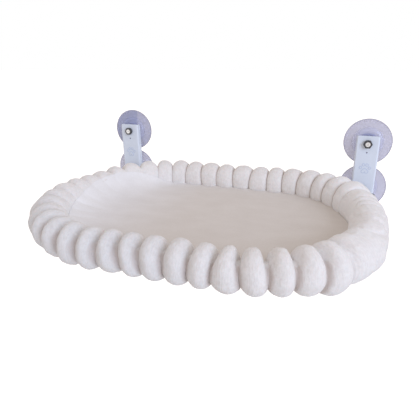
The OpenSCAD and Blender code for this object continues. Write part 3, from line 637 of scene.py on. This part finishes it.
def seat_solid():
    """The pad before it is filled out, and the number of its first ring on top. Rings of points
    run from the middle of its underside, up its drawn-in side and in over its top. At the
    bed's left end its edge runs up the bolster in a wide cove, where the lobes go on as soft
    ribs. The innermost ring on either side is closed straight across."""
    share = np.arange(seat_columns) / seat_columns
    rim_x, rim_y, out_x, out_y = bolster_line(share, line_a, line_b, line_corner_r)
    left_end = ease(-rim_x / line_a, 0.45, 0.95)
    wall = left_end * (0.45 + 0.55 * ease(rim_y / line_b, -0.5, 0.4))
    low_edge = math.asin((0.0015 - seat_edge_drop) / lobe_r)
    edge = low_edge + (0.85 - low_edge) * wall
    run = 0.006 + 0.085 * left_end

    # Each ring is an inset from the bolster's middle line and a height above it
    low = 1.3
    foot = lobe_r * math.cos(low)
    profile = [(foot + d, -lobe_r * math.sin(low)) for d in (0.09, 0.07, 0.05, 0.025)]
    for rise in (0, 0.17, 0.33, 0.5, 0.67, 0.83, 0.99, 1):
        g = -low + (edge + low) * rise
        hug = np.maximum(wall_reach(share, g), lobe_r * 0.7) + seat_gap
        hug = hug if rise > 0.4 else np.full(seat_columns, lobe_r * 1.07)
        profile.append((hug * np.cos(g), hug * np.sin(g)))
    first_top = len(profile)
    inset_0, top = profile[-1]
    crest = steps_round // 4
    valley = np.interp(share * lobe_count, ring_along[:, crest], ring_depth_and_shade[:, crest], period=lobe_count)
    rib = 0.0036 * (0.5 - np.clip(valley, 0, 1)) * left_end
    for d in (0.0004, 0.002, 0.005, 0.010, 0.016, 0.024, 0.034, 0.046, 0.060, 0.075):
        fade = max(0, 1 - d / 0.03)
        start = inset_0 * fade + lobe_r * np.cos(edge) * (1 - fade)
        sunk = seat_sag * math.sin(min(1, d / 0.08) * math.pi / 2)
        cove = np.clip(1 - d / run, 0, 1) ** 3
        ribs = rib * ease(d, 0, 0.006) * cove
        profile.append((start + d - ribs, (top + seat_edge_drop) * cove - seat_edge_drop - sunk + ribs))
    rings = []
    for inset, z in profile:
        level = np.broadcast_to(z, rim_x.shape)
        rings.append(np.stack([rim_x - out_x * inset, rim_y - out_y * inset, level], axis=-1))

    def toward_spine(ring):
        spine = np.stack([np.clip(ring[:, 0], -0.08, 0.08), 0 * rim_x, ring[:, 2]], axis=-1)
        return [ring * (1 - near) + spine * near for near in (0.3, 0.6, 0.85)]

    under = toward_spine(rings[0])[::-1]
    rings = under + rings + toward_spine(rings[-1])
    first_top += len(under)
    points = np.array(rings) + np.array(bed_centre)
    on_top = np.clip((np.arange(len(rings)) - first_top) / 5, 0, 1)[:, None]
    points[..., 2] += 0.0007 * on_top * ruffle(points, 14, 7) + 0.0004 * on_top * ruffle(points, 45, 8)
    pad = wrapped_grid("seat_pad_cover", points[:, ::-1], closed_rows=False)
    shape = bmesh.new()
    shape.from_mesh(pad.data)
    shape.verts.ensure_lookup_table()
    half = seat_columns // 2
    for start in (0, seat_columns * (len(rings) - 1)):
        for i in range(-half // 2, half // 2):
            ends = (i, i + 1, half - i - 1, half - i)
            corners = [shape.verts[start + (seat_columns - 1 - e) % seat_columns] for e in ends]
            if len(set(corners)) > 2:
                shape.faces.new(list(dict.fromkeys(corners)))
    bmesh.ops.recalc_face_normals(shape, faces=shape.faces)
    shape.to_mesh(pad.data)
    shape.free()
    pad.data.shade_smooth()
    return pad, first_top


def apply_modifiers(piece):
    """Gives the piece the mesh that its modifiers make, and takes them off."""
    shown = piece.evaluated_get(bpy.context.evaluated_depsgraph_get())
    mesh = bpy.data.meshes.new_from_object(shown)
    piece.modifiers.clear()
    piece.data = mesh


def fill_out(piece, cap, ease_in):
    """Blows the piece up as cloth. Its points then rise by at most cap, times their share in
    ease_in, which keeps its side and underside on the bolster and the sling."""
    before = np.array([v.co for v in piece.data.vertices])
    cloth = piece.modifiers.new("cloth", "CLOTH")
    cloth.settings.quality = 5
    cloth.settings.mass = 0.2
    cloth.settings.tension_stiffness = 20
    cloth.settings.compression_stiffness = 20
    cloth.settings.bending_stiffness = 2
    cloth.settings.use_pressure = True
    cloth.settings.uniform_pressure_force = 4
    cloth.settings.effector_weights.gravity = 0
    last_frame = 20
    cloth.point_cache.frame_start = 1
    cloth.point_cache.frame_end = last_frame
    for step in range(1, last_frame + 1):
        bpy.context.scene.frame_set(step)
    apply_modifiers(piece)
    after = np.array([v.co for v in piece.data.vertices])
    before[:, 2] += np.clip(after[:, 2] - before[:, 2], 0, cap) * ease_in
    piece.data.vertices.foreach_set("co", before.astype(np.float32).ravel())
    bpy.context.scene.frame_set(1)


seat, first_top_ring = seat_solid()
rings_in = np.arange(len(seat.data.vertices)) // seat_columns - first_top_ring
fill_out(seat, seat_cap, ease(rings_in, 2, 9))
finer = seat.modifiers.new("finer", "SUBSURF")
finer.levels = finer.render_levels = 1
apply_modifiers(seat)
seat.data.shade_smooth()
seat_places = np.array([v.co for v in seat.data.vertices])
# Masks for painted light on the seat: towards the left end, and higher up the cove
note(seat, "painted_light_left", ease(-seat_places[:, 0] / line_a, 0.05, 0.85))
note(seat, "painted_light_height", ease(seat_places[:, 2] - seat_high.z, -0.001, 0.016))


def seat_fleece(w):
    """Brushed fleece, flatter than the plush, with long faint strokes of the brush. Over most of it
    the colour is darkened by warm painted shade; towards the left end and higher up the cove,
    painted light makes it paler and cooler, as pale as the plush."""
    stroke = w.noise(1, detail=3, at=w.place().stretched((26, 44, 40)))
    tuft = w.noise(420, detail=3, rough=0.6)
    fibre = w.noise(1300, detail=2)
    shade = (stroke * 0.45 + tuft * 0.35 + fibre * 0.2).between(0.3, 0.7)
    # The fleece's tone darkened by warm painted shade, for the middle and the right
    fleece_in_painted_shade = shade.tint((0.70, 0.66, 0.62), (0.755, 0.72, 0.685))
    # Paler, cooler colours for the left end and higher up the cove: painted light
    low = shade.tint((0.785, 0.785, 0.805), (0.87, 0.88, 0.915))
    high = shade.tint((0.85, 0.86, 0.885), (0.935, 0.95, 0.985))
    painted_light_left = w.kept("painted_light_height").tint(low, high)
    return {
        "Base Color": w.kept("painted_light_left").tint(fleece_in_painted_shade, painted_light_left),
        "Roughness": 0.95,
        "Specular IOR Level": 0.2,
        "Sheen Weight": 0.25,
        "Sheen Roughness": 0.5,
        "Normal": w.relief(tuft * 0.5 + fibre * 0.2 + stroke * 0.3, 0.0009, 0.45),
    }


seat.data.materials.append(finish(seat_fleece))
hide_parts("seat_pad")
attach(seat, "bed")


# Sling: one sheet of plain cotton stretched over the tube loop. Its long edges and ends turn
# round the tube as sleeves, and are hemmed to its underside between the notches.
tube_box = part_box("frame_tube_right")
tube_r = (tube_box[1].z - tube_box[0].z) / 2
tube_z = (tube_box[0].z + tube_box[1].z) / 2
loop_b = (tube_box[1].y - tube_box[0].y) / 2 - tube_r
loop_c = tube_box[1].x - tube_r - loop_b
sling_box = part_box("sling")
sling_x = sling_box[1].x
sling_t = 0.001
tube_gap = 0.00005
sleeve_r = tube_r + sling_t / 2 + tube_gap
strap_share = 0.73
strap_x = strap_share * loop_c
strap_w = 0.020
notch_w = strap_w + 2 * sling_t
notch_depth = 0.010
joiner_notch = 0.034
hem_turn = math.radians(232)


def sling_half_width(x):
    """Half of the loop's width over the bed's length, along its middle line."""
    past = max(0.0, abs(x) - loop_c)
    return math.sqrt(max(0.0, loop_b**2 - past**2))


def thicken(sheet, thickness):
    """Makes a sheet into cloth, with half its thickness on either side."""
    thick = sheet.modifiers.new("thick", "SOLIDIFY")
    thick.thickness = thickness
    thick.offset = 0
    apply_modifiers(sheet)


def sling_mesh():
    """Rows of points across the sling for many places along it, as blocks between notches."""
    marks = (sling_x, loop_c, joiner_notch, strap_x - notch_w / 2, strap_x + notch_w / 2)
    cuts = sorted({side * mark for side in (-1, 1) for mark in marks})
    shape = bmesh.new()
    for x_0, x_1 in zip(cuts, cuts[1:]):
        middle = abs(x_0 + x_1) / 2
        notched = middle < joiner_notch or abs(middle - strap_x) < notch_w / 2
        count = max(2, round((x_1 - x_0) / 0.005))
        rows = []
        for i in range(count + 1):
            x = x_0 + (x_1 - x_0) * i / count
            half = sling_half_width(x)
            inner = half * (loop_b - notch_depth) / loop_b
            ys = [inner * j / 22 for j in range(-22, 23)]
            past = max(0.0, abs(x) - loop_c)
            out = (math.copysign(past / loop_b, x), half / loop_b)
            row = [(x, y, sleeve_r) for y in ys]
            if not notched:
                sleeve = [inner + (half - inner) * j / 2 for j in (1, 2)]
                wrap = [math.pi / 2 - hem_turn * j / 20 for j in range(1, 21)]
                for side in (-1, 1):
                    edge = [(x, side * y, sleeve_r) for y in sleeve]
                    for g in wrap:
                        r = sleeve_r * math.cos(g)
                        edge.append((x + out[0] * r, side * (half + out[1] * r), sleeve_r * math.sin(g)))
                    row = edge[::-1] + row if side < 0 else row + edge
            rows.append([shape.verts.new((p[0], p[1] + bed_centre.y, p[2] + tube_z)) for p in row])
        for low, high in zip(rows, rows[1:]):
            for j in range(len(low) - 1):
                shape.faces.new((low[j], high[j], high[j + 1], low[j + 1]))
    bmesh.ops.remove_doubles(shape, verts=shape.verts, dist=1e-6)
    bmesh.ops.recalc_face_normals(shape, faces=shape.faces)
    mesh = bpy.data.meshes.new("sling_sheet")
    shape.to_mesh(mesh)
    area = sum(f.calc_area() for f in shape.faces)
    shape.free()
    mesh.shade_smooth()
    sheet = stand("sling_sheet", mesh)
    thicken(sheet, sling_t)
    return sheet, area


def sling_cotton(w):
    """Plain weave of thick cotton threads, cream white."""
    spot = w.place()
    threads = {"Vector": spot, "Scale": 260, "Distortion": 0.4}
    warp = w.node("ShaderNodeTexWave", {"bands_direction": "X"}, threads)
    weft = w.node("ShaderNodeTexWave", {"bands_direction": "Y"}, threads)
    weave = warp * weft
    slub = w.noise(90, detail=3)
    return {
        "Base Color": (weave * 0.5 + slub * 0.5).tint((0.62, 0.60, 0.57), (0.84, 0.82, 0.79)),
        "Roughness": 0.9,
        "Sheen Weight": 0.15,
        "Normal": w.relief(weave, 0.0003, 0.7),
    }


def stitches(name, places, runs, outs):
    """Short thick stitches, one for each place, along its run and flat on the cloth."""
    run, out = np.array(runs), np.array(outs)
    wide = np.cross(run, out)

    # A stitch is four six-sided rims, in millimetres, and the outer two are small
    rim_mm = [(0.3, 0.0), (0.1, 0.22), (-0.1, 0.22), (-0.3, 0.0), (-0.1, -0.22), (0.1, -0.22)]
    rims_mm = ((-1.5, 0.4), (-1.0, 1), (1.0, 1), (1.5, 0.4))
    around = len(rim_mm)
    each = around * len(rims_mm)
    points, faces = [], []
    for at, size in rims_mm:
        for w, h in rim_mm:
            points.append(np.array(places) + (run * at + (wide * w + out * h) * size) / 1000)
    points = np.stack(points, axis=1)
    for first in range(0, len(points) * each, each):
        faces.append([first + k for k in reversed(range(around))])
        faces.append([first + k for k in range(each - around, each)])
        for k in range(each - around):
            after = k // around * around + (k + 1) % around
            faces.append([first + k, first + after, first + after + around, first + k + around])
    mesh = bpy.data.meshes.new(name)
    mesh.from_pydata(points.reshape(-1, 3).tolist(), [], faces)
    mesh.flip_normals()
    return stand(name, mesh)


def hem_stitches():
    """One row round the tube, near the free edge of the sleeves, left out at the notches."""
    stitch_pitch = 0.0044
    count = round((4 * loop_c + 2 * math.pi * loop_b) / stitch_pitch)
    turn = math.pi / 2 - hem_turn + 0.35
    r = sleeve_r + sling_t / 2
    x, y, out_x, out_y = bolster_line(np.arange(count) / count, loop_c + loop_b, loop_b, loop_b)
    out = np.stack([out_x, out_y, 0 * x], axis=-1) * math.cos(turn) + np.array((0, 0, math.sin(turn)))
    place = np.stack([x, y + bed_centre.y, 0 * x + tube_z], axis=-1) + out * r
    notch = (np.abs(x) < joiner_notch) | (np.abs(np.abs(x) - strap_x) < notch_w / 2)
    here = (np.abs(x) < sling_x - 0.003) & ~(notch & (np.abs(out_y) > 0.99))
    run = np.stack([-out_y, out_x, 0 * x], axis=-1)
    return stitches("sling_stitches", place[here], run[here], out[here])


def thread(w):
    """Twisted cotton thread, off-white."""
    twist = w.noise(1600, detail=2)
    return {"Base Color": twist.tint((0.74, 0.72, 0.69), (0.86, 0.84, 0.81)), "Roughness": 0.8}


sling_thread = hem_stitches()
sewing_thread = finish(thread)
sling_thread.data.materials.append(sewing_thread)
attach(sling_thread, "bed")
sling, sling_area = sling_mesh()
sling.data.materials.append(finish(sling_cotton))
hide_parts("sling")
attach(sling, "bed")


# Straps: four bands of hook-and-loop webbing, sewn to the bed's underside and closed round
# the straight tubes, each with a loose tail.
strap_t = 0.0009
strap_tail = 0.018
tack_pitch = 0.0036
tack_rows = (0.009, 0.015)


def strap_band(name, x, side):
    """One band: once round the tube, and a tail that lies under it towards the middle."""
    r = tube_r + tube_gap + strap_t / 2
    round_it = [(r * math.cos(g), r * math.sin(g)) for g in np.linspace(-math.pi / 2, 1.5 * math.pi, 49)]
    tail = [(-side * strap_tail * i / 8, -r) for i in range(8, 0, -1)]
    line = tail + [(-side * y, z) for y, z in round_it[:-1]]
    xs = np.linspace(x - strap_w / 2, x + strap_w / 2, 9)
    points = [[(at, bed_centre.y + side * loop_b + y, tube_z + z) for at in xs] for y, z in line]
    shape = bmesh.new()
    rows = [[shape.verts.new(p) for p in row] for row in points]
    for low, high in zip(rows, rows[1:]):
        for j in range(len(low) - 1):
            shape.faces.new((low[j], low[j + 1], high[j + 1], high[j]))
    bmesh.ops.recalc_face_normals(shape, faces=shape.faces)
    mesh = bpy.data.meshes.new(name)
    shape.to_mesh(mesh)
    shape.free()
    mesh.shade_smooth()
    band = stand(name, mesh)
    thicken(band, strap_t)
    return band


def strap_webbing(w):
    """Ribbed white webbing with a short looped nap."""
    spot = w.place()
    rib = w.node("ShaderNodeTexWave", {"bands_direction": "X"}, {"Vector": spot, "Scale": 180})
    nap = w.noise(1400, detail=2)
    return {
        "Base Color": (rib * 0.4 + nap * 0.6).tint((0.70, 0.69, 0.68), (0.88, 0.87, 0.86)),
        "Roughness": 0.85,
        "Normal": w.relief(rib * 0.5 + nap * 0.5, 0.0003, 0.8),
    }


webbing = finish(strap_webbing)
for strap_side, row_name in ((-1, "front"), (1, "rear")):
    for strap_at, end_name in ((-strap_x, "left"), (strap_x, "right")):
        strap = strap_band(f"strap_{row_name}_{end_name}", strap_at, strap_side)
        strap.data.materials.append(webbing)
        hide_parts("fixing_straps")
        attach(strap, "bed")
        tail_under = tube_z - tube_r - tube_gap - strap_t
        sewn = [
            (x, bed_centre.y + strap_side * (loop_b - back), tail_under)
            for x in strap_at + np.arange(-2, 3) * tack_pitch
            for back in tack_rows
        ]
        runs, outs = [(1, 0, 0)] * len(sewn), [(0, 0, -1)] * len(sewn)
        tacks = stitches(f"{strap.name}_stitches", sewn, runs, outs)
        tacks.data.materials.append(sewing_thread)
        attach(tacks, "bed")


# Studio: a plain pale floor far below, a soft lamp from the right, and the camera where the
# photograph was taken.
floor_z = -1.0
floor_half = 30


def floor_white(w):
    """White to the camera and in gloss, and matt under the lamp, so that it keeps a shadow."""
    return {
        "Base Color": (0.8, 0.8, 0.8),
        "Roughness": 1,
        "Specular IOR Level": 0,
        "Emission Color": (1, 1, 1),
        "Emission Strength": w.seen_directly() * 0.7,
    }


floor_mesh = bpy.data.meshes.new("floor")
floor_corners = [(x * floor_half, y * floor_half, floor_z) for x, y in ((-1, -1), (1, -1), (1, 1), (-1, 1))]
floor_mesh.from_pydata(floor_corners, [], [(0, 1, 2, 3)])
floor = stand("floor", floor_mesh)
floor.data.materials.append(finish(floor_white))

world = bpy.data.worlds.new("studio")
bpy.context.scene.world = world
world.use_nodes = True
sky = Wire(world.node_tree)
sky_shader = world.node_tree.nodes["Background"]
sky_seen = sky.seen_directly()
sky_light = 0.64
sky.plug(sky_shader.inputs["Color"], sky_seen.tint((1.0, 0.905, 0.86), (1, 1, 1)))
sky.plug(sky_shader.inputs["Strength"], sky_light + (1 - sky_light) * sky_seen)

lamp_place = Vector((2.35, -2.1, 1.15))
lamp_aim = Vector((0, -0.2, -0.03))
lamp_data = bpy.data.lights.new("key_lamp", "AREA")
lamp_data.shape = "DISK"
lamp_data.size = 1.8
lamp_data.energy = 48
lamp_data.color = (0.70, 0.80, 1.0)
lamp = stand("key_lamp", lamp_data)
lamp.location = lamp_place
lamp.rotation_euler = (lamp_aim - lamp_place).to_track_quat("-Z", "Y").to_euler()

photo_width = 419
focal_px = 399.65
eye_place = Vector((0.18752, -0.72940, 0.18272))
eye_yaw = 0.3305
eye_pitch = 0.3507
eye_roll = -0.0101
ahead = Vector(
    (-math.sin(eye_yaw) * math.cos(eye_pitch), math.cos(eye_yaw) * math.cos(eye_pitch), -math.sin(eye_pitch))
)
right = Vector((math.cos(eye_yaw), math.sin(eye_yaw), 0))
above = right.cross(ahead)
rolled_right = right * math.cos(eye_roll) + above * math.sin(eye_roll)
rolled_above = above * math.cos(eye_roll) - right * math.sin(eye_roll)
camera_data = bpy.data.cameras.new("photo_camera")
camera_data.sensor_width = 36
camera_data.lens = 36 * focal_px / photo_width
camera = stand("photo_camera", camera_data)
axes = Matrix((rolled_right, rolled_above, -ahead)).transposed()
camera.matrix_world = Matrix.Translation(eye_place) @ axes.to_4x4()
bpy.context.scene.camera = camera

bpy.context.scene.view_settings.view_transform = "Standard"
